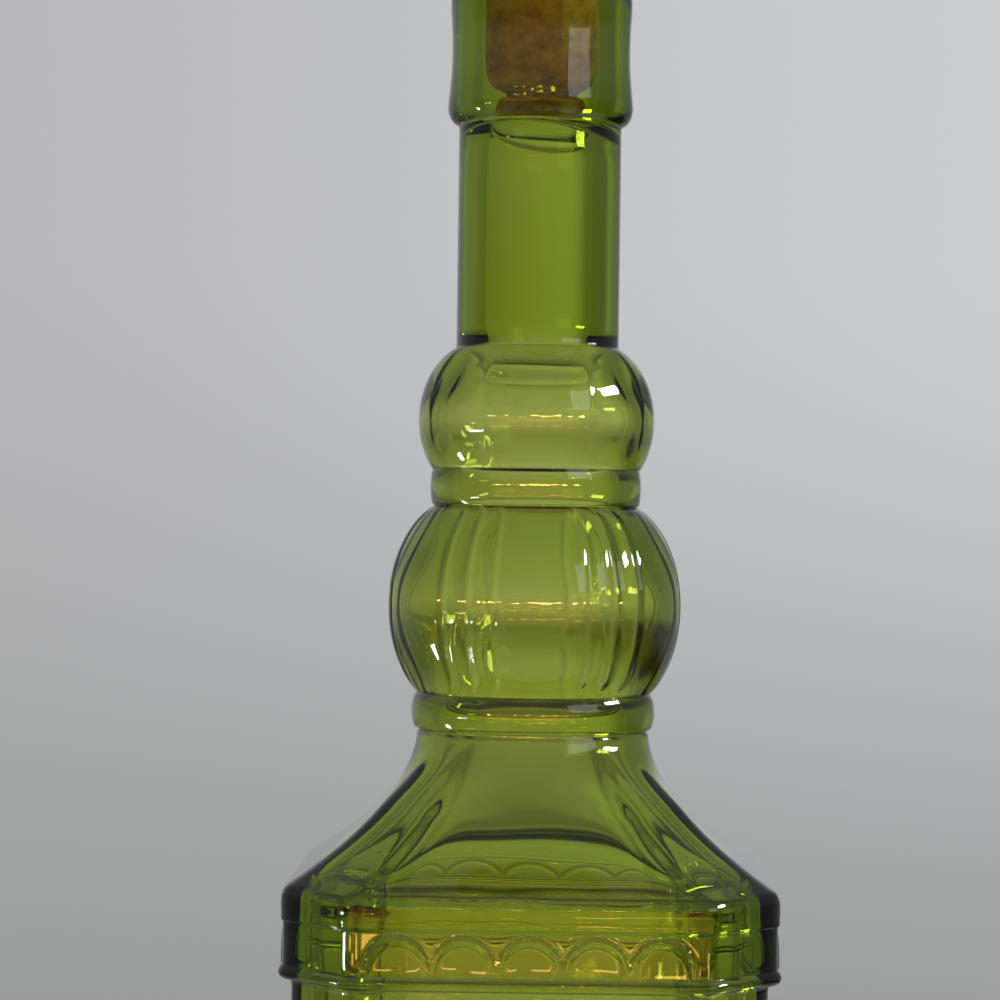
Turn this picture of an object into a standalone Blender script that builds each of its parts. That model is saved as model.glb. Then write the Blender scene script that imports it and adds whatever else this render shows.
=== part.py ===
"""A corked decorative glass bottle, empty.

Square body with cut corners, a flared shoulder, a bead, two bulbs with a ring between them,
a plain neck and a round collar, closed by a tapered cork. Lengths here are millimetres and are
turned into metres when the meshes are made. Z is up and the base stands at zero. The front is -Y.
"""
import math

import bmesh
import bpy

MM = 0.001

# Body, measured from the middle to a flat side
BODY_HALF = 36.2
BAND_HALF = 37.8
FRIEZE_HALF = 37.5
MOULDING_HALF = 38.2
FLAT_SHARE = 0.715
FLAT_SHARE_TOP = 0.667
PLINTH_TOP = 9.0
MOULDING_BASE = 117.4
MOULDING_TOP = 119.7
FRIEZE_TOP = 126.2
SHOULDER_BASE = 131.0

# Shoulder flare
SHOULDER_TOP = 154.0
SHOULDER_TOP_HALF = 18.45
SHOULDER_POWER = 1.88
SQUARE_FROM = 143.0

# Bead under the large bulb
BEAD_BASE = 153.8
BEAD_TOP = 159.9
BEAD_RADIUS = 19.45
BEAD_GROOVE = 18.5

# Large bulb: a round arc about an inner circle
BULB2_Z = 173.6
BULB2_HALF_HEIGHT = 17.0
BULB2_CORE = 12.2
BULB2_SWELL = 11.2

# Six groups of three upright grooves on the large bulb, the whole turned a little to +X at the front
RIB_DEPTH = 0.5
RIB_PITCH = 10.0
RIB_TURN = 3.0

# Ring between the bulbs
RING_BASE = 189.5
RING_TOP = 195.3
RING_RADIUS = 16.85
RING_GROOVE = 16.45

# Small bulb
BULB1_Z = 203.2
BULB1_HALF_HEIGHT = 12.5
BULB1_CORE = 9.15
BULB1_SWELL = 9.7
FACET_DEPTH = 0.35

# Neck and collar
NECK_BASE = 214.9
NECK_RADIUS = 13.0
COLLAR_BASE = 250.3
COLLAR_RADIUS = 14.3
COLLAR_FLARE = 14.85
COLLAR_LIP = 14.55
COLLAR_TOP = 272.8

# Inside: the wide bore for the cork, a rounded and slightly tilted step, the narrower bore of the neck
BORE_RADIUS = 9.4
STEP_TOP = 251.0
STEP_BASE = 246.6
STEP_TILT = -0.06
NECK_BORE = 8.6
WALL = 3.2
FLOOR = 5.0
INNER_HALF = 33.0

# Cork
CORK_BASE = 255.2
CORK_TOP = 283.0
CORK_BASE_RADIUS = 8.95
CORK_TAPER = 0.012

# Scalloped frieze on the band, one row of arches on each flat side
ARCHES = 5
ARCH_PITCH = 9.8
ARCH_RADIUS = 4.45
ARCH_LINE = 0.9
ARCH_STEPS = 8

# Points of one section of the outside and of the hollow
COUNT = 72
INNER_COUNT = COUNT // 2
CORNER_POINT = 35.0
FACET_WIDTH = 18.0


def clear_scene():
    for obj in list(bpy.data.objects):
        bpy.data.objects.remove(obj, do_unlink=True)


def smooth(t):
    t = min(max(t, 0.0), 1.0)
    return t * t * (3.0 - 2.0 * t)


def mix(a, b, t):
    return a + (b - a) * t


def cut_square(half, share, angle, soft):
    """Distance to the outline of a square with cut corners, rounded where two sides meet."""
    a = math.radians((angle + 45.0) % 90.0 - 45.0)
    flat = half / math.cos(a)
    corner = (1.0 + share) * half / math.sqrt(2.0) / math.cos(math.pi / 4.0 - abs(a))
    low = min(flat, corner)
    return low - soft * math.log(math.exp((low - flat) / soft) + math.exp((low - corner) / soft))


def warped(angle, share, amount):
    """Moves the points at the edges of the corner cut onto the corners of the square section."""
    turn, rest = divmod(angle, 90.0)
    mirrored = rest > 45.0
    a = 90.0 - rest if mirrored else rest
    corner = math.degrees(math.atan(share))
    edge = CORNER_POINT
    if a <= edge:
        b = a * corner / edge
    else:
        b = corner + (a - edge) * (45.0 - corner) / (45.0 - edge)
    b = mix(a, b, amount)
    return 90.0 * turn + (90.0 - b if mirrored else b)


def ribs(angle):
    """1 in the grooves, 0 on the ribs between them and on the plain panels."""
    a = abs((angle - 270.0 + 30.0) % 60.0 - 30.0)
    away = min(abs(a - (30.0 - RIB_PITCH)), abs(a - 30.0))
    return max(0.0, 1.0 - away / 5.0)


def facets(angle):
    """0 on the plain sides, 1 in the middle of the flattened corners."""
    a = abs(angle % 90.0 - 45.0)
    return max(0.0, 1.0 - a / FACET_WIDTH)


def outer_ring(z, half, square=0.0, share=FLAT_SHARE, rib=0.0, facet=0.0, soft=0.35, turn=0.0):
    ring = []
    for i in range(COUNT):
        plain = 360.0 * i / COUNT
        angle = warped(plain, share, square)
        r = half
        if square > 0.0:
            r = mix(half, cut_square(half, share, angle, soft), square)
        r -= rib * ribs(plain) + facet * facets(plain)
        a = math.radians(angle + turn)
        ring.append((r * math.cos(a), r * math.sin(a), z))
    return ring


def inner_ring(z, half, square=0.0, tilt=0.0):
    ring = []
    for i in range(INNER_COUNT):
        angle = 360.0 * i / INNER_COUNT
        r = mix(half, cut_square(half, 0.70, angle, 1.2), square)
        a = math.radians(angle)
        x = r * math.cos(a)
        ring.append((x, r * math.sin(a), z + tilt * x))
    return ring


def shoulder_half(z):
    t = (SHOULDER_TOP - z) / (SHOULDER_TOP - SHOULDER_BASE)
    return SHOULDER_TOP_HALF + (BAND_HALF - SHOULDER_TOP_HALF) * max(t, 0.0) ** SHOULDER_POWER


def shoulder_square(z):
    return smooth((SHOULDER_TOP - 0.6 - z) / (SHOULDER_TOP - SQUARE_FROM))


def shoulder_share(z):
    t = smooth((SHOULDER_TOP - z) / (SHOULDER_TOP - SHOULDER_BASE))
    return mix(FLAT_SHARE_TOP, FLAT_SHARE, t)


def arc(centre, half_height, core, swell, low, high, steps):
    """Heights and radii up the side of a bulb, between two heights."""
    a = math.asin((low - centre) / half_height)
    b = math.asin((high - centre) / half_height)
    for i in range(steps + 1):
        t = a + (b - a) * i / steps
        yield centre + half_height * math.sin(t), core + swell * math.cos(t)


def outer_rings():
    rings = []

    def square(z, half, soft=0.35):
        rings.append(outer_ring(z, half, 1.0, FLAT_SHARE, soft=soft))

    # Heel, plinth and plain body
    square(0.0, MOULDING_HALF - 1.6)
    square(0.4, MOULDING_HALF - 0.6)
    square(1.5, MOULDING_HALF - 0.1)
    square(PLINTH_TOP - 1.1, MOULDING_HALF)
    square(PLINTH_TOP - 0.2, MOULDING_HALF - 0.4)
    square(PLINTH_TOP + 0.6, BODY_HALF)
    square(MOULDING_BASE - 0.3, BODY_HALF)
    # Moulding under the band
    square(MOULDING_BASE + 0.3, MOULDING_HALF - 0.3)
    square(MOULDING_BASE + 1.2, MOULDING_HALF)
    square(MOULDING_TOP - 0.3, MOULDING_HALF - 0.25)
    square(MOULDING_TOP, FRIEZE_HALF)
    # Frieze, then the lip of the shoulder
    square(FRIEZE_TOP, FRIEZE_HALF)
    square(FRIEZE_TOP + 0.3, BAND_HALF)
    square(SHOULDER_BASE - 1.0, BAND_HALF)
    square(SHOULDER_BASE - 0.1, BAND_HALF - 0.3)
    # Flare, from the cut square up to the round
    steps = 9
    for i in range(1, steps + 1):
        t = (i / steps) ** 1.12
        z = mix(SHOULDER_BASE + 0.2, SHOULDER_TOP - 0.5, t)
        rings.append(outer_ring(z, shoulder_half(z), shoulder_square(z), shoulder_share(z)))
    # Bead
    rings.append(outer_ring(BEAD_BASE + 0.1, BEAD_GROOVE - 0.15))
    for t in (0.12, 0.45, 0.8):
        swell = math.sqrt(math.sin(math.pi * t))
        rings.append(outer_ring(mix(BEAD_BASE, BEAD_TOP, t), mix(BEAD_GROOVE, BEAD_RADIUS, swell)))
    # Large bulb with its grooves
    bulb = list(arc(BULB2_Z, BULB2_HALF_HEIGHT, BULB2_CORE, BULB2_SWELL, BEAD_TOP, RING_BASE, 11))
    for i, (z, r) in enumerate(bulb):
        fade = smooth(min(i, len(bulb) - 1 - i) / 1.6)
        rings.append(outer_ring(z, r, rib=RIB_DEPTH * fade, turn=RIB_TURN * fade))
    # Ring
    for t in (0.14, 0.5, 0.86):
        swell = math.sqrt(math.sin(math.pi * t))
        rings.append(outer_ring(mix(RING_BASE, RING_TOP, t), mix(RING_GROOVE, RING_RADIUS, swell)))
    # Small bulb with faintly flattened corners
    low = RING_TOP + 0.1
    top = NECK_BASE - 0.2
    bulb = list(arc(BULB1_Z, BULB1_HALF_HEIGHT, BULB1_CORE, BULB1_SWELL, low, top, 9))
    for i, (z, r) in enumerate(bulb):
        fade = smooth(min(i, len(bulb) - 1 - i) / 2.5)
        rings.append(outer_ring(z, r, facet=FACET_DEPTH * fade))
    # Neck, then the collar up to its rim
    rings.append(outer_ring(NECK_BASE + 0.6, NECK_RADIUS))
    rings.append(outer_ring(COLLAR_BASE - 0.2, NECK_RADIUS))
    for up, radius in (
        (0.35, NECK_RADIUS + 0.8),
        (1.3, COLLAR_FLARE - 0.3),
        (2.6, COLLAR_FLARE),
        (5.5, COLLAR_FLARE - 0.25),
        (9.5, COLLAR_RADIUS),
    ):
        rings.append(outer_ring(COLLAR_BASE + up, radius))
    for down, radius in (
        (8.0, COLLAR_RADIUS),
        (3.6, COLLAR_LIP),
        (1.5, COLLAR_LIP - 0.2),
        (0.5, COLLAR_LIP - 1.0),
        (0.0, COLLAR_LIP - 2.5),
    ):
        rings.append(outer_ring(COLLAR_TOP - down, radius))
    return rings


def inside():
    """Heights, half widths and squareness of the hollow, from the mouth down to the floor."""
    rows = []
    # Small bulb, waist, large bulb and the throat under it, as half waves between radii
    marks = [
        (218.5, NECK_BORE),
        (BULB1_Z, 15.9),
        (192.6, 12.9),
        (BULB2_Z, 20.6),
        (156.6, 15.2),
    ]
    for (z0, r0), (z1, r1) in zip(marks, marks[1:]):
        steps = 4
        for i in range(steps):
            t = i / steps
            rows.append((mix(z0, z1, t), mix(r0, r1, 0.5 - 0.5 * math.cos(math.pi * t)), 0.0))
    rows.append((156.6, 15.2, 0.0))
    # Under the flare, a wall's thickness inside it
    steps = 7
    for i in range(steps + 1):
        z = mix(SHOULDER_TOP - 0.5, SHOULDER_BASE + 0.9, i / steps)
        slope = (shoulder_half(z - 0.05) - shoulder_half(z + 0.05)) / 0.1
        size = math.sqrt(1.0 + slope * slope)
        down = z - WALL * slope / size
        rows.append((down, min(shoulder_half(z) - WALL / size, INNER_HALF), shoulder_square(z)))
    rows.append((FRIEZE_TOP - 3.5, INNER_HALF, 1.0))
    rows.append((FLOOR + 7.0, INNER_HALF, 1.0))
    rows.append((FLOOR + 2.6, INNER_HALF - 1.0, 1.0))
    rows.append((FLOOR + 0.7, INNER_HALF - 3.0, 1.0))
    rows.append((FLOOR, INNER_HALF - 5.6, 1.0))
    return rows


def make_object(name, rings, material, caps=(True, True), joins=()):
    """Skins stacked rings, bottom to top. A ring of half the count is joined by fans."""
    mesh = bpy.data.meshes.new(name)
    work = bmesh.new()
    rows = [[work.verts.new((x * MM, y * MM, z * MM)) for x, y, z in ring] for ring in rings]
    for low, high in zip(rows, rows[1:]):
        n = len(low)
        if len(high) == n:
            for i in range(n):
                j = (i + 1) % n
                work.faces.new((low[i], low[j], high[j], high[i]))
        else:
            m = len(high)
            for i in range(m):
                j = (i + 1) % m
                a, b, c = low[2 * i], low[2 * i + 1], low[(2 * i + 2) % n]
                work.faces.new((a, b, high[i]))
                work.faces.new((b, high[j], high[i]))
                work.faces.new((b, c, high[j]))
    if caps[0]:
        work.faces.new(list(reversed(rows[0])))
    if caps[1]:
        work.faces.new(rows[-1])
    bmesh.ops.recalc_face_normals(work, faces=work.faces)
    work.to_mesh(mesh)
    work.free()
    mesh.materials.append(material)
    obj = bpy.data.objects.new(name, mesh)
    bpy.context.scene.collection.objects.link(obj)
    mesh.shade_smooth()
    mesh.set_sharp_from_angle(angle=math.radians(35.0))
    return obj


def material(name, colour, roughness, metallic=0.0, transmission=0.0):
    made = bpy.data.materials.new(name)
    made.use_nodes = True
    shader = made.node_tree.nodes["Principled BSDF"]
    shader.inputs["Base Color"].default_value = (*colour, 1.0)
    shader.inputs["Roughness"].default_value = roughness
    shader.inputs["Metallic"].default_value = metallic
    shader.inputs["Transmission Weight"].default_value = transmission
    made.diffuse_color = (*colour, 1.0)
    return made


def make_arches():
    """One object with the frieze's raised arches, on the four flat sides."""
    mesh = bpy.data.meshes.new("frieze")
    work = bmesh.new()
    foot = MOULDING_TOP + 0.55
    for side in range(4):
        turn = math.radians(90.0 * side)
        out = (math.cos(turn), math.sin(turn))
        along = (-math.sin(turn), math.cos(turn))
        for k in range(ARCHES):
            middle = ARCH_PITCH * (k - (ARCHES - 1) / 2.0)
            rows = []
            for i in range(ARCH_STEPS + 1):
                a = math.pi * i / ARCH_STEPS
                row = []
                for r, depth in (
                    (ARCH_RADIUS - ARCH_LINE / 2, -0.5),
                    (ARCH_RADIUS - ARCH_LINE / 2 + 0.15, 0.45),
                    (ARCH_RADIUS + ARCH_LINE / 2 - 0.15, 0.45),
                    (ARCH_RADIUS + ARCH_LINE / 2, -0.5),
                ):
                    s = middle + r * math.cos(a)
                    z = foot + r * math.sin(a) * 1.1
                    d = FRIEZE_HALF + depth
                    row.append(
                        work.verts.new(
                            (
                                (out[0] * d + along[0] * s) * MM,
                                (out[1] * d + along[1] * s) * MM,
                                z * MM,
                            )
                        )
                    )
                rows.append(row)
            for low, high in zip(rows, rows[1:]):
                for i in range(4):
                    j = (i + 1) % 4
                    work.faces.new((low[i], low[j], high[j], high[i]))
            work.faces.new(rows[0])
            work.faces.new(list(reversed(rows[-1])))
    bmesh.ops.recalc_face_normals(work, faces=work.faces)
    work.to_mesh(mesh)
    work.free()
    obj = bpy.data.objects.new("frieze", mesh)
    bpy.context.scene.collection.objects.link(obj)
    return obj


def main():
    clear_scene()
    glass = material("green_glass", (0.20, 0.29, 0.045), 0.04, transmission=1.0)
    cork_brown = material("cork", (0.20, 0.105, 0.045), 0.85)

    # The glass runs up the outside, over the rim and down the inside to the floor
    rings = outer_rings()
    rings.append(inner_ring(COLLAR_TOP - 0.1, BORE_RADIUS + 1.0))
    rings.append(inner_ring(COLLAR_TOP - 0.9, BORE_RADIUS + 0.15))
    for t in (0.0, 0.3, 0.55, 0.8, 1.0):
        radius = mix(BORE_RADIUS, NECK_BORE, smooth(t))
        rings.append(inner_ring(mix(STEP_TOP, STEP_BASE, t), radius, tilt=STEP_TILT))
    for z, half, square in inside():
        rings.append(inner_ring(z, half, square))
    bottle = make_object("bottle", rings, glass)

    # The arches are joined onto the band
    frieze = make_arches()
    frieze.hide_render = True
    frieze.display_type = "WIRE"
    join = bottle.modifiers.new("frieze", "BOOLEAN")
    join.operation = "UNION"
    join.solver = "EXACT"
    join.object = frieze

    # Cork, wider towards its top, with worn edges
    rows = []
    for z, less in (
        (CORK_BASE, 1.9),
        (CORK_BASE + 0.8, 0.9),
        (CORK_BASE + 3.2, 0.1),
        (COLLAR_TOP, 0.0),
        (CORK_TOP - 1.2, 0.0),
        (CORK_TOP - 0.3, 0.35),
        (CORK_TOP, 1.1),
    ):
        radius = CORK_BASE_RADIUS + CORK_TAPER * (z - CORK_BASE) - less
        rows.append(inner_ring(z, radius))
    make_object("cork", rows, cork_brown)


main()
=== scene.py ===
import math

import bpy
from mathutils import Matrix, Vector, noise


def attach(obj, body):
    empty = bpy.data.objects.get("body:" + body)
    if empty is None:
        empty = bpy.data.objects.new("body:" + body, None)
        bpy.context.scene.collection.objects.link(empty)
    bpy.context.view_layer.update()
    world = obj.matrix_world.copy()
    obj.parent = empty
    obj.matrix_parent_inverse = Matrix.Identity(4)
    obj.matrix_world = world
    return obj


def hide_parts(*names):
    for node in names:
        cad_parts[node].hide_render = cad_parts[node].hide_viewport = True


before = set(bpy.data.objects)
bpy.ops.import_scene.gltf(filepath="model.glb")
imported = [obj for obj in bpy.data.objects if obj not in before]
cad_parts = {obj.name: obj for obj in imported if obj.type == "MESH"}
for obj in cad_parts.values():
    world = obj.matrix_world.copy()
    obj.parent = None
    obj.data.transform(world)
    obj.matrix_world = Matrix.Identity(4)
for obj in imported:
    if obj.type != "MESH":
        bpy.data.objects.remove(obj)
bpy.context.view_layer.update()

MM = 0.001

# Sizes in millimetres, as in the part's source
BODY_HALF = 36.2
BAND_HALF = 37.8
FRIEZE_HALF = 37.5
MOULDING_HALF = 38.2
FLAT_SHARE = 0.715
FLAT_SHARE_TOP = 0.667
PLINTH_TOP = 9.0
MOULDING_BASE = 117.4
MOULDING_TOP = 119.7
FRIEZE_TOP = 126.2
SHOULDER_BASE = 131.0
SHOULDER_TOP = 154.0
SHOULDER_TOP_HALF = 18.45
SHOULDER_POWER = 1.88
SQUARE_FROM = 143.0
BEAD_BASE, BEAD_TOP, BEAD_RADIUS, BEAD_GROOVE = 153.8, 159.9, 19.45, 18.5
BULB2_Z, BULB2_HALF_HEIGHT, BULB2_CORE, BULB2_SWELL = 173.6, 17.0, 12.2, 11.2
RIB_DEPTH, RIB_PITCH, RIB_TURN = 0.5, 11.0, 3.0
RING_BASE, RING_TOP, RING_RADIUS, RING_GROOVE = 189.5, 195.3, 16.85, 16.45
BULB1_Z, BULB1_HALF_HEIGHT, BULB1_CORE, BULB1_SWELL, FACET_DEPTH = 203.2, 12.5, 9.15, 9.7, 0.35
NECK_BASE, NECK_RADIUS = 214.9, 13.0
COLLAR_BASE, COLLAR_RADIUS, COLLAR_FLARE, COLLAR_LIP, COLLAR_TOP = 250.3, 14.3, 14.85, 14.55, 272.8
BORE_RADIUS, WALL, FLOOR, INNER_HALF = 9.4, 3.2, 5.0, 33.0
STEP_TOP, STEP_BASE, STEP_TILT, NECK_BORE = 250.9, 248.5, (-0.11, -0.15), 8.6
CORK_BASE, CORK_TOP, CORK_BASE_RADIUS, CORK_TAPER = 255.2, 283.0, 8.95, 0.012
ARCHES, ARCH_PITCH, ARCH_RADIUS = 5, 9.8, 4.45
ARCH_HEIGHT, ARCH_LINE_WIDTH, ARCH_PILLOW = 0.28, 0.5, 0.18
CORNER_POINT, FACET_WIDTH = 35.0, 18.0
INNER_ROUND = 1.6
THROAT_Z, RING_Z, BEAD_Z = 218.5, 192.6, 156.6
BULB1_INNER, RING_INNER, BULB2_INNER, BEAD_INNER = 16.3, 13.5, 20.6, 15.2
FINE = 288


def smooth(t):
    t = min(max(t, 0.0), 1.0)
    return t * t * (3.0 - 2.0 * t)


def mix(a, b, t):
    return a + (b - a) * t


def cut_square(half, share, angle, soft):
    """Radius of a square with cut corners at an angle, its corners rounded by soft."""
    a = math.radians((angle + 45.0) % 90.0 - 45.0)
    flat = half / math.cos(a)
    corner = (1.0 + share) * half / math.sqrt(2.0) / math.cos(math.pi / 4.0 - abs(a))
    low = min(flat, corner)
    return low - soft * math.log(math.exp((low - flat) / soft) + math.exp((low - corner) / soft))


def warped(angle, share, amount):
    """Moves evenly spaced angles so that one falls on each corner of the cut square."""
    turn, rest = divmod(angle, 90.0)
    mirrored = rest > 45.0
    a = 90.0 - rest if mirrored else rest
    corner = math.degrees(math.atan(share))
    edge = CORNER_POINT
    if a <= edge:
        b = a * corner / edge
    else:
        b = corner + (a - edge) * (45.0 - corner) / (45.0 - edge)
    b = mix(a, b, amount)
    return 90.0 * turn + (90.0 - b if mirrored else b)


def ribs(angle):
    """1 in the grooves, 0 on the ribs between them and on the plain panels."""
    a = abs((angle - 270.0 + 30.0) % 60.0 - 30.0)
    past = 30.0 - RIB_PITCH - a
    if past > 0.0:
        return max(0.0, 1.0 - past / 2.4) ** 2
    u = abs(2.0 * (((30.0 - a) / RIB_PITCH) % 1.0) - 1.0)
    return u ** 3


def facets(angle):
    """1 in the middle of the four flats of the small bulb, 0 between them."""
    a = abs(angle % 90.0 - 45.0)
    return max(0.0, 1.0 - (a / FACET_WIDTH) ** 2) ** 0.5


def shoulder_half(z):
    t = (SHOULDER_TOP - z) / (SHOULDER_TOP - SHOULDER_BASE)
    return SHOULDER_TOP_HALF + (BAND_HALF - SHOULDER_TOP_HALF) * max(t, 0.0) ** SHOULDER_POWER


def shoulder_square(z):
    return smooth((SHOULDER_TOP - 0.6 - z) / (SHOULDER_TOP - SQUARE_FROM))


def shoulder_share(z):
    t = smooth((SHOULDER_TOP - z) / (SHOULDER_TOP - SHOULDER_BASE))
    return mix(FLAT_SHARE_TOP, FLAT_SHARE, t)


def arc(centre, half_height, core, swell, low, high, steps):
    a = math.asin((low - centre) / half_height)
    b = math.asin((high - centre) / half_height)
    for i in range(steps + 1):
        t = a + (b - a) * i / steps
        yield centre + half_height * math.sin(t), core + swell * math.cos(t)


def curve_through(marks, steps):
    """Points on a smooth curve through (z, half) marks, with a soft turn at each mark."""
    points = [Vector((h, z, 0.0)) for z, h in marks]
    made = []
    for i in range(len(points) - 1):
        p0 = points[max(i - 1, 0)]
        p1, p2 = points[i], points[i + 1]
        p3 = points[min(i + 2, len(points) - 1)]
        span = (p2 - p1).length
        m1 = (p2 - p0) / max((p2 - p0).length, 1e-9) * span
        m2 = (p3 - p1) / max((p3 - p1).length, 1e-9) * span
        for k in range(steps):
            t = k / steps
            a = 2 * t**3 - 3 * t**2 + 1
            b = t**3 - 2 * t**2 + t
            c = -2 * t**3 + 3 * t**2
            d = t**3 - t**2
            p = p1 * a + m1 * b + p2 * c + m2 * d
            made.append((p.y, p.x))
    made.append((points[-1].y, points[-1].x))
    return made


def arch_height(s, z):
    """Relief of the scalloped frieze at a place on a flat side, in millimetres."""
    k = min(max(round(s / ARCH_PITCH), -(ARCHES // 2)), ARCHES // 2)
    dx = s - k * ARCH_PITCH
    foot = MOULDING_TOP + 0.55
    dz = (z - foot) / 1.1
    if dz < 0.0:
        away = abs(abs(dx) - ARCH_RADIUS)
    else:
        away = abs(math.hypot(dx, dz) - ARCH_RADIUS)
    line = math.exp(-(away / ARCH_LINE_WIDTH) ** 2)
    inside = 1.0 if math.hypot(dx, max(dz, 0.0)) < ARCH_RADIUS else 0.0
    pillow = 0.0
    if inside:
        pillow = ARCH_PILLOW * (1.0 - (math.hypot(dx, max(dz, 0.0)) / ARCH_RADIUS) ** 2)
    return ARCH_HEIGHT * line + pillow


def wobble(x, y, z, scale, amount, seed):
    return amount * noise.noise(Vector((x / scale + seed, y / scale, z / scale)))


def outer_ring(z, half, square=0.0, share=FLAT_SHARE, rib=0.0, facet=0.0, soft=0.6,
               count=FINE, frieze=False, turn=0.0):
    ring = []
    for i in range(count):
        plain = 360.0 * i / count
        angle = warped(plain, share, square)
        r = half
        if square > 0.0:
            r = mix(half, cut_square(half, share, angle, soft), square)
        if rib:
            r -= rib * ribs(plain)
        if facet:
            r -= facet * facets(plain)
        a = math.radians(angle + turn)
        x, y = r * math.cos(a), r * math.sin(a)
        if frieze:
            side = round(angle / 90.0) * 90.0
            b = math.radians(angle - side)
            s = r * math.sin(b)
            if abs(s) < FLAT_SHARE * FRIEZE_HALF - 1.5:
                up = arch_height(s, z)
                c = math.radians(side)
                x += up * math.cos(c)
                y += up * math.sin(c)
        k = 1.0 + wobble(x, y, z, 9.0, 0.0012, 3.1)
        ring.append((x * k, y * k, z))
    return ring


def inner_ring(z, half, square=0.0, tilt=(0.0, 0.0), count=FINE // 2):
    ring = []
    for i in range(count):
        angle = 360.0 * i / count
        r = mix(half, cut_square(half, 0.70, angle, 1.2), square)
        a = math.radians(angle)
        x, y = r * math.cos(a), r * math.sin(a)
        k = 1.0
        if z < 130.0:
            k += wobble(x, y, z, 8.0, 0.008, 9.7)
        elif half > BORE_RADIUS + 0.3:
            k += wobble(x, y, z, 13.0, 0.006, 9.7)
        ring.append((x * k, y * k, z + tilt[0] * x + tilt[1] * y))
    return ring


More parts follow.
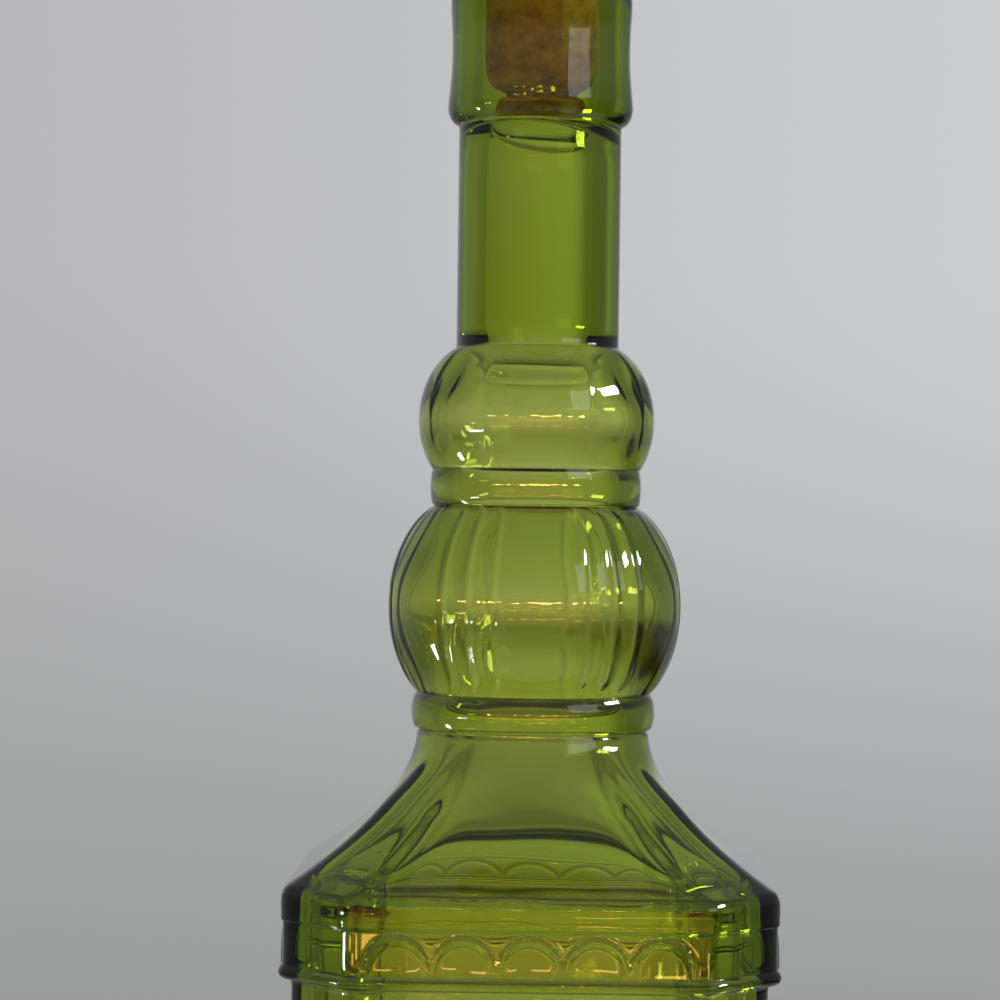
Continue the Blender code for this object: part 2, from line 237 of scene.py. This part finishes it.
def outer_rings():
    """Rings up the outside, from the heel to the rim."""
    rings = []

    def profile(marks, steps, **more):
        for z, half in curve_through(marks, steps)[:-1]:
            rings.append(outer_ring(z, half, 1.0, FLAT_SHARE, **more))

    # Heel, plinth, plain body
    profile([(0.0, MOULDING_HALF - 1.6), (0.35, MOULDING_HALF - 0.6), (1.5, MOULDING_HALF - 0.12),
             (4.0, MOULDING_HALF - 0.08), (PLINTH_TOP - 1.1, MOULDING_HALF - 0.1),
             (PLINTH_TOP - 0.3, MOULDING_HALF - 0.4), (PLINTH_TOP + 0.1, BODY_HALF + 0.5),
             (PLINTH_TOP + 0.9, BODY_HALF)], 4)
    for i in range(30):
        z = mix(PLINTH_TOP + 1.2, MOULDING_BASE - 1.0, i / 29.0)
        rings.append(outer_ring(z, BODY_HALF, 1.0, FLAT_SHARE))
    profile([(MOULDING_BASE - 0.6, BODY_HALF + 0.02), (MOULDING_BASE - 0.1, BODY_HALF + 0.3),
             (MOULDING_BASE + 0.2, MOULDING_HALF - 0.75), (MOULDING_BASE + 0.65, MOULDING_HALF - 0.25),
             (MOULDING_BASE + 1.2, MOULDING_HALF - 0.1), (MOULDING_BASE + 1.7, MOULDING_HALF - 0.24),
             (MOULDING_TOP - 0.2, MOULDING_HALF - 0.48), (MOULDING_TOP - 0.02, FRIEZE_HALF + 0.04)], 5)
    # Frieze, with four times the points
    for i in range(27):
        z = mix(MOULDING_TOP + 0.02, FRIEZE_TOP - 0.02, i / 26.0)
        rings.append(outer_ring(z, FRIEZE_HALF, 1.0, FLAT_SHARE, count=4 * FINE, frieze=True))
    profile([(FRIEZE_TOP + 0.05, FRIEZE_HALF + 0.02), (FRIEZE_TOP + 0.3, BAND_HALF - 0.03),
             (FRIEZE_TOP + 1.2, BAND_HALF), (SHOULDER_BASE - 1.2, BAND_HALF),
             (SHOULDER_BASE - 0.3, BAND_HALF - 0.25),
             (SHOULDER_BASE + 0.35, shoulder_half(SHOULDER_BASE + 0.35) - 0.05)], 5)
    # Flare
    steps = 60
    for i in range(1, steps + 1):
        z = mix(SHOULDER_BASE + 0.35, SHOULDER_TOP - 0.6, (i / steps) ** 1.15)
        rings.append(outer_ring(z, shoulder_half(z), shoulder_square(z), shoulder_share(z)))
    # Bead
    marks = [(BEAD_BASE - 0.1, BEAD_GROOVE - 0.22), (BEAD_BASE + 0.1, BEAD_GROOVE - 0.2)]
    for t in (0.08, 0.25, 0.5, 0.75, 0.92):
        half = mix(BEAD_GROOVE, BEAD_RADIUS, math.sin(math.pi * t) ** 0.6)
        marks.append((mix(BEAD_BASE, BEAD_TOP, t), half))
    marks.append((BEAD_TOP - 0.05, BEAD_GROOVE + 0.08))
    for z, half in curve_through(marks, 5)[:-1]:
        rings.append(outer_ring(z, half))
    # Large bulb
    bulb = list(arc(BULB2_Z, BULB2_HALF_HEIGHT, BULB2_CORE, BULB2_SWELL, BEAD_TOP, RING_BASE, 72))
    for i, (z, r) in enumerate(bulb):
        fade = smooth(min(i, len(bulb) - 1 - i) / 8.0)
        rings.append(outer_ring(z, r, rib=RIB_DEPTH * fade, turn=RIB_TURN * fade))
    # Ring
    marks = [(RING_BASE + 0.1, RING_GROOVE + 0.05)]
    for t in (0.12, 0.3, 0.5, 0.7, 0.88):
        half = mix(RING_GROOVE, RING_RADIUS, math.sin(math.pi * t) ** 0.5)
        marks.append((mix(RING_BASE, RING_TOP, t), half))
    marks.append((RING_TOP, RING_GROOVE + 0.1))
    for z, half in curve_through(marks, 5):
        rings.append(outer_ring(z, half))
    # Small bulb
    bulb = list(arc(BULB1_Z, BULB1_HALF_HEIGHT, BULB1_CORE, BULB1_SWELL, RING_TOP + 0.1, NECK_BASE - 0.3, 56))
    for i, (z, r) in enumerate(bulb):
        fade = smooth(min(i, len(bulb) - 1 - i) / 14.0)
        rings.append(outer_ring(z, r, facet=FACET_DEPTH * fade))
    # Neck, collar, rim
    for i in range(36):
        z = mix(NECK_BASE + 0.15, COLLAR_BASE - 0.6, i / 35.0)
        rings.append(outer_ring(z, NECK_RADIUS))
    marks = [(COLLAR_BASE - 0.4, NECK_RADIUS + 0.02), (COLLAR_BASE, NECK_RADIUS + 0.3),
             (COLLAR_BASE + 0.5, NECK_RADIUS + 1.0), (COLLAR_BASE + 1.4, COLLAR_FLARE - 0.28),
             (COLLAR_BASE + 2.7, COLLAR_FLARE - 0.02), (COLLAR_BASE + 5.5, COLLAR_FLARE - 0.25),
             (COLLAR_BASE + 9.5, COLLAR_RADIUS), (COLLAR_TOP - 8.0, COLLAR_RADIUS),
             (COLLAR_TOP - 3.6, COLLAR_LIP - 0.02), (COLLAR_TOP - 1.7, COLLAR_LIP - 0.15),
             (COLLAR_TOP - 0.6, COLLAR_LIP - 0.8), (COLLAR_TOP - 0.1, COLLAR_LIP - 1.9),
             (COLLAR_TOP - 0.02, COLLAR_LIP - 3.0), (COLLAR_TOP - 0.07, BORE_RADIUS + 1.2)]
    for z, half in curve_through(marks, 6):
        rings.append(outer_ring(z, half))
    return rings


def inside():
    """Heights, half widths and squareness of the hollow, from the neck down to the floor."""
    rows = []
    marks = [(THROAT_Z, NECK_BORE), (BULB1_Z, BULB1_INNER), (RING_Z, RING_INNER),
             (BULB2_Z, BULB2_INNER), (BEAD_Z, BEAD_INNER)]
    for (z0, r0), (z1, r1) in zip(marks, marks[1:]):
        steps = 16
        for i in range(steps):
            t = i / steps
            rows.append((mix(z0, z1, t), mix(r0, r1, 0.5 - 0.5 * math.cos(math.pi * t)), 0.0))
    rows.append((BEAD_Z, BEAD_INNER, 0.0))
    steps = 36
    for i in range(steps + 1):
        z = mix(SHOULDER_TOP - 0.5, SHOULDER_BASE + 0.9, i / steps)
        slope = (shoulder_half(z - 0.05) - shoulder_half(z + 0.05)) / 0.1
        size = math.sqrt(1.0 + slope * slope)
        half = shoulder_half(z) - WALL / size
        near = math.exp(-half / INNER_ROUND) + math.exp(-INNER_HALF / INNER_ROUND)
        rows.append((z - WALL * slope / size, -INNER_ROUND * math.log(near), shoulder_square(z)))
    for i in range(24):
        rows.append((mix(FRIEZE_TOP - 3.5, FLOOR + 7.5, i / 23.0), INNER_HALF, 1.0))
    for i in range(9):
        a = math.radians(10.0 * i)
        rows.append((FLOOR + 7.0 - 6.9 * math.sin(a), INNER_HALF - 5.6 * (1.0 - math.cos(a)), 1.0))
    rows.append((FLOOR, INNER_HALF - 6.6, 1.0))
    return rows


def skin(name, rings, closed=(True, True)):
    """Skins stacked rings. Where the count changes, the two rings are joined by fans."""
    verts, faces, starts = [], [], []
    for ring in rings:
        starts.append(len(verts))
        verts.extend((x * MM, y * MM, z * MM) for x, y, z in ring)
    for (a, low), (b, high) in zip(zip(starts, rings), zip(starts[1:], rings[1:])):
        n, m = len(low), len(high)
        if n == m:
            for i in range(n):
                j = (i + 1) % n
                faces.append((a + i, a + j, b + j, b + i))
        elif n > m:
            k = n // m
            for i in range(m):
                j = (i + 1) % m
                for q in range(k):
                    faces.append((a + k * i + q, a + (k * i + q + 1) % n, b + (i if q < k / 2 else j)))
                mid = a + (k * i + (k + 1) // 2) % n
                faces.append((mid, b + j, b + i))
        else:
            k = m // n
            for i in range(n):
                j = (i + 1) % n
                for q in range(k):
                    faces.append((a + (i if q < k / 2 else j), b + (k * i + q + 1) % m, b + k * i + q))
                mid = b + (k * i + (k + 1) // 2) % m
                faces.append((a + i, a + j, mid))
    if closed[0]:
        faces.append(tuple(reversed(range(len(rings[0])))))
    if closed[1]:
        top = starts[-1]
        faces.append(tuple(top + i for i in range(len(rings[-1]))))
    mesh = bpy.data.meshes.new(name)
    mesh.from_pydata(verts, [], faces)
    mesh.update()
    mesh.shade_smooth()
    obj = bpy.data.objects.new(name, mesh)
    bpy.context.scene.collection.objects.link(obj)
    return obj


def new_material(name):
    material = bpy.data.materials.new(name)
    material.use_nodes = True
    nodes = material.node_tree.nodes
    return material, material.node_tree, nodes["Principled BSDF"], nodes["Material Output"]


def glass_material():
    material, tree, shader, output = new_material("green_glass")
    shader.inputs["Base Color"].default_value = (1.0, 1.0, 1.0, 1.0)
    shader.inputs["Roughness"].default_value = 0.0
    shader.inputs["IOR"].default_value = 1.5
    shader.inputs["Transmission Weight"].default_value = 1.0
    volume = tree.nodes.new("ShaderNodeVolumeAbsorption")
    volume.inputs["Color"].default_value = (0.733, 0.80, 0.10, 1.0)
    volume.inputs["Density"].default_value = 450.0
    tree.links.new(volume.outputs["Volume"], output.inputs["Volume"])
    ripple = tree.nodes.new("ShaderNodeTexNoise")
    ripple.inputs["Scale"].default_value = 60.0
    ripple.inputs["Detail"].default_value = 1.0
    where = tree.nodes.new("ShaderNodeTexCoord")
    tree.links.new(where.outputs["Object"], ripple.inputs["Vector"])
    bump = tree.nodes.new("ShaderNodeBump")
    bump.inputs["Strength"].default_value = 0.25
    bump.inputs["Distance"].default_value = 0.0002
    tree.links.new(ripple.outputs["Fac"], bump.inputs["Height"])
    tree.links.new(bump.outputs["Normal"], shader.inputs["Normal"])
    return material


def cork_material():
    material, tree, shader, output = new_material("cork")
    where = tree.nodes.new("ShaderNodeTexCoord")
    grain = tree.nodes.new("ShaderNodeTexNoise")
    grain.inputs["Scale"].default_value = 420.0
    grain.inputs["Detail"].default_value = 5.0
    grain.inputs["Roughness"].default_value = 0.65
    tree.links.new(where.outputs["Object"], grain.inputs["Vector"])
    ramp = tree.nodes.new("ShaderNodeValToRGB")
    ramp.color_ramp.elements[0].position = 0.32
    ramp.color_ramp.elements[0].color = (0.34, 0.155, 0.08, 1.0)
    ramp.color_ramp.elements[1].position = 0.68
    ramp.color_ramp.elements[1].color = (0.76, 0.46, 0.28, 1.0)
    middle = ramp.color_ramp.elements.new(0.5)
    middle.color = (0.62, 0.32, 0.17, 1.0)
    tree.links.new(grain.outputs["Fac"], ramp.inputs["Fac"])
    tree.links.new(ramp.outputs["Color"], shader.inputs["Base Color"])
    shader.inputs["Roughness"].default_value = 0.85
    bump = tree.nodes.new("ShaderNodeBump")
    bump.inputs["Strength"].default_value = 0.5
    bump.inputs["Distance"].default_value = 0.0003
    tree.links.new(grain.outputs["Fac"], bump.inputs["Height"])
    tree.links.new(bump.outputs["Normal"], shader.inputs["Normal"])
    return material


def make_glass():
    rings = outer_rings()
    hollow = [(COLLAR_TOP - 0.25, BORE_RADIUS + 0.6, 0.0), (COLLAR_TOP - 0.7, BORE_RADIUS + 0.2, 0.0),
              (COLLAR_TOP - 1.4, BORE_RADIUS + 0.03, 0.0)]
    hollow += [(mix(COLLAR_TOP - 2.5, STEP_TOP + 4.4, i / 12.0), BORE_RADIUS, 0.0) for i in range(13)]
    for z, half, square in hollow:
        rings.append(inner_ring(z, half, square))
    lip = NECK_BORE - 0.3
    marks = [(STEP_TOP + 1.6, BORE_RADIUS), (STEP_TOP, BORE_RADIUS - 0.06),
             (STEP_TOP - 0.9, mix(BORE_RADIUS, lip, 0.22)), (STEP_TOP - 1.6, mix(BORE_RADIUS, lip, 0.6)),
             (STEP_TOP - 2.15, lip + 0.06), (STEP_TOP - 2.7, lip), (STEP_BASE - 3.0, NECK_BORE)]
    for z, half in curve_through(marks, 5):
        rings.append(inner_ring(z, half, tilt=STEP_TILT))
    for i in range(12):
        rings.append(inner_ring(mix(STEP_BASE - 7.0, 220.0, i / 11.0), NECK_BORE))
    for z, half, square in inside():
        rings.append(inner_ring(z, half, square))
    obj = skin("bottle_glass", rings)
    obj.data.materials.append(glass_material())
    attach(obj, "root")
    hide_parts("bottle")


def make_cork():
    rings = []
    marks = [(CORK_BASE + 0.02, 2.6), (CORK_BASE + 0.15, 1.7), (CORK_BASE + 0.8, 0.95),
             (CORK_BASE + 2.0, 0.45), (CORK_BASE + 3.4, 0.12), (CORK_BASE + 8.0, 0.06),
             (COLLAR_TOP, 0.05), (CORK_TOP - 2.2, 0.05),
             (CORK_TOP - 0.9, 0.2), (CORK_TOP - 0.2, 0.7), (CORK_TOP - 0.03, 1.6)]
    count = 160
    for z, less in curve_through(marks, 7):
        radius = CORK_BASE_RADIUS + CORK_TAPER * (z - CORK_BASE) - less
        ring = []
        for i in range(count):
            a = 2.0 * math.pi * i / count
            x, y = radius * math.cos(a), radius * math.sin(a)
            pit = noise.noise(Vector((x / 1.1, y / 1.1, z / 1.1 + 5.0)))
            fine = noise.noise(Vector((x / 0.35, y / 0.35, z / 0.5)))
            drop = 0.35 * max(0.0, pit - 0.42) / 0.3 + 0.05 * max(0.0, fine)
            k = 1.0 - drop / radius
            ring.append((x * k, y * k, z))
        rings.append(ring)
    last = rings[-1]
    for share in (0.92, 0.8, 0.65, 0.5, 0.35, 0.2, 0.08):
        ring = []
        for x, y, z in last:
            px, py = x * share, y * share
            pit = noise.noise(Vector((px / 1.1, py / 1.1, 7.7)))
            ring.append((px, py, CORK_TOP - 0.03 - 0.4 * max(0.0, pit - 0.35)))
        rings.append(ring)
    obj = skin("cork_stopper", rings)
    obj.data.materials.append(cork_material())
    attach(obj, "root")
    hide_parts("cork")


def make_floor():
    """A pale disc under the bottle, which fades out before its edge."""
    count, radius = 96, 0.4
    verts = [(0.0, 0.0, 0.0)]
    faces = []
    for i in range(count):
        a = 2.0 * math.pi * i / count
        verts.append((radius * math.cos(a), radius * math.sin(a), 0.0))
        faces.append((0, i + 1, (i + 1) % count + 1))
    mesh = bpy.data.meshes.new("floor")
    mesh.from_pydata(verts, [], faces)
    obj = bpy.data.objects.new("floor", mesh)
    bpy.context.scene.collection.objects.link(obj)
    material, tree, shader, output = new_material("floor")
    shader.inputs["Base Color"].default_value = (0.62, 0.62, 0.63, 1.0)
    shader.inputs["Roughness"].default_value = 0.7
    where = tree.nodes.new("ShaderNodeTexCoord")
    length = tree.nodes.new("ShaderNodeVectorMath")
    length.operation = "LENGTH"
    tree.links.new(where.outputs["Object"], length.inputs[0])
    fade = tree.nodes.new("ShaderNodeMapRange")
    fade.interpolation_type = "SMOOTHSTEP"
    fade.inputs["From Min"].default_value = 0.1
    fade.inputs["From Max"].default_value = 0.38
    tree.links.new(length.outputs["Value"], fade.inputs["Value"])
    clear = tree.nodes.new("ShaderNodeBsdfTransparent")
    both = tree.nodes.new("ShaderNodeMixShader")
    tree.links.new(fade.outputs["Result"], both.inputs["Fac"])
    tree.links.new(shader.outputs["BSDF"], both.inputs[1])
    tree.links.new(clear.outputs["BSDF"], both.inputs[2])
    tree.links.new(both.outputs["Shader"], output.inputs["Surface"])
    obj.data.materials.append(material)


WALL_LOW, WALL_LEFT, WALL_RIGHT = (0.32, 0.33, 0.325), (0.47, 0.46, 0.475), (0.61, 0.64, 0.655)
STRIPE, WARM, ROOM = (0.23, 0.225, 0.17), (0.55, 0.49, 0.36), (0.09, 0.095, 0.09)
SIDE_LEFT, SIDE_RIGHT, SIDE_LOW = (0.32, 0.32, 0.33), (0.26, 0.27, 0.26), (0.22, 0.22, 0.19)
FRONT_HIGH, GLOW = (0.29, 0.29, 0.33), (1.15, 0.55, 0.14)
ROOM_LOW, ROOM_HIGH = (0.05, 0.038, 0.03), (0.24, 0.25, 0.24)


def make_world():
    """A pale studio: the camera sees a plain wall, the glass sees it with darker room beside and below it."""
    world = bpy.data.worlds.new("studio")
    bpy.context.scene.world = world
    world.use_nodes = True
    tree = world.node_tree
    background = tree.nodes["Background"]
    where = tree.nodes.new("ShaderNodeTexCoord")
    split = tree.nodes.new("ShaderNodeSeparateXYZ")
    tree.links.new(where.outputs["Generated"], split.inputs["Vector"])

    def step(source, low, high):
        node = tree.nodes.new("ShaderNodeMapRange")
        node.interpolation_type = "SMOOTHSTEP"
        node.inputs["From Min"].default_value = low
        node.inputs["From Max"].default_value = high
        tree.links.new(source, node.inputs["Value"])
        return node.outputs["Result"]

    def blend(factor, low, high):
        node = tree.nodes.new("ShaderNodeMix")
        node.data_type = "RGBA"
        tree.links.new(factor, node.inputs["Factor"])
        for socket, colour in ((6, low), (7, high)):
            if isinstance(colour, tuple):
                node.inputs[socket].default_value = (*colour, 1.0)
            else:
                tree.links.new(colour, node.inputs[socket])
        return node.outputs[2]

    upper = blend(step(split.outputs["X"], -0.3, 0.3), WALL_LEFT, WALL_RIGHT)
    wall = blend(step(split.outputs["Z"], -0.2, 0.1), WALL_LOW, upper)
    room = blend(step(split.outputs["Z"], -0.185, -0.15), STRIPE, wall)
    room = blend(step(split.outputs["Z"], -0.26, -0.22), WARM, room)
    room = blend(step(split.outputs["Z"], 0.25, 0.6), room, ROOM_HIGH)
    high = step(split.outputs["Z"], 0.07, 0.16)
    room = blend(step(split.outputs["X"], 0.16, 0.52), room, SIDE_RIGHT)
    room = blend(step(split.outputs["X"], -0.9, -0.5), SIDE_LEFT, room)
    front = blend(high, ROOM, FRONT_HIGH)
    glow = blend(step(split.outputs["Z"], 0.01, 0.06), GLOW, front)
    glow = blend(step(split.outputs["Z"], -0.32, -0.2), front, glow)
    front = blend(step(split.outputs["Y"], -0.85, -0.6), glow, front)
    room = blend(step(split.outputs["Y"], -0.15, 0.45), front, room)
    low = blend(step(split.outputs["X"], -0.45, -0.2), SIDE_LOW, ROOM_LOW)
    room = blend(step(split.outputs["Z"], -0.34, -0.19), low, room)
    path = tree.nodes.new("ShaderNodeLightPath")
    tree.links.new(blend(path.outputs["Is Camera Ray"], room, wall), background.inputs["Color"])
    background.inputs["Strength"].default_value = 1.0


def area(name, place, target, size, power, colour=(1.0, 1.0, 1.0)):
    data = bpy.data.lights.new(name, "AREA")
    data.shape = "RECTANGLE"
    data.size, data.size_y = size
    data.energy = power
    data.color = colour
    obj = bpy.data.objects.new(name, data)
    bpy.context.scene.collection.objects.link(obj)
    obj.location = place
    obj.rotation_euler = (Vector(target) - Vector(place)).to_track_quat("-Z", "Y").to_euler()


LAMP_DISTANCE, LAMP_SPACING, LAMP_COLOUR = 3.0, 13.0, (1.0, 0.54, 0.1)


def make_lights():
    """Windows beside the bottle, and two rows of small warm lamps in front of it."""
    area("window_right", (1.1, -0.05, 0.72), (0, 0, 0.2), (0.36, 0.16), 10.0)
    area("window_left", (-1.3, 0.05, -0.44), (0, 0, 0.19), (0.09, 0.24), 4.0)
    area("window_soft", (1.53, -1.29, 0.92), (0, 0, 0.25), (1.1, 0.75), 5.0)
    area("window_edge", (-1.22, -0.44, -0.05), (0, 0, 0.13), (0.22, 0.035), 1.0)
    for row, (height, power) in enumerate(((0.32, 13.0), (-0.27, 1.0))):
        for i in range(8):
            a = math.radians(LAMP_SPACING * (i - 3.5) + 2.0 + 3.0 * math.sin(7.0 * i + 2.0 * row))
            size = 0.36 + 0.16 * math.sin(5.0 * i + row)
            place = (LAMP_DISTANCE * math.sin(a), -LAMP_DISTANCE * math.cos(a),
                     height + 0.02 * math.sin(9.0 * i + row))
            area("lamp_%d_%d" % (row, i), place, (0, 0, 0.19), (size, 0.024), power * size, LAMP_COLOUR)


CAMERA_BACK = 0.470
FOCAL_PIXELS = 2937.5
EYE = 0.184 + (540.0 - 530.0) * 0.16 * MM
ROLL = 0.75


def make_camera():
    data = bpy.data.cameras.new("camera")
    data.sensor_width = 36.0
    data.lens = 36.0 * FOCAL_PIXELS / 1000.0
    data.clip_start = 0.01
    data.clip_end = 50.0
    obj = bpy.data.objects.new("camera", data)
    bpy.context.scene.collection.objects.link(obj)
    place = Vector((0.0, -CAMERA_BACK, EYE))
    aim = Vector((-0.0057, 0.0, 0.1904))
    forward = (aim - place).normalized()
    right = forward.cross(Vector((0, 0, 1))).normalized()
    up = right.cross(forward)
    turn = Matrix((right, up, -forward)).transposed().to_4x4()
    obj.matrix_world = Matrix.Translation(place) @ turn @ Matrix.Rotation(math.radians(ROLL), 4, "Z")
    bpy.context.scene.camera = obj


bpy.context.scene.view_settings.view_transform = "Standard"
make_glass()
make_cork()
make_floor()
make_world()
make_lights()
make_camera()
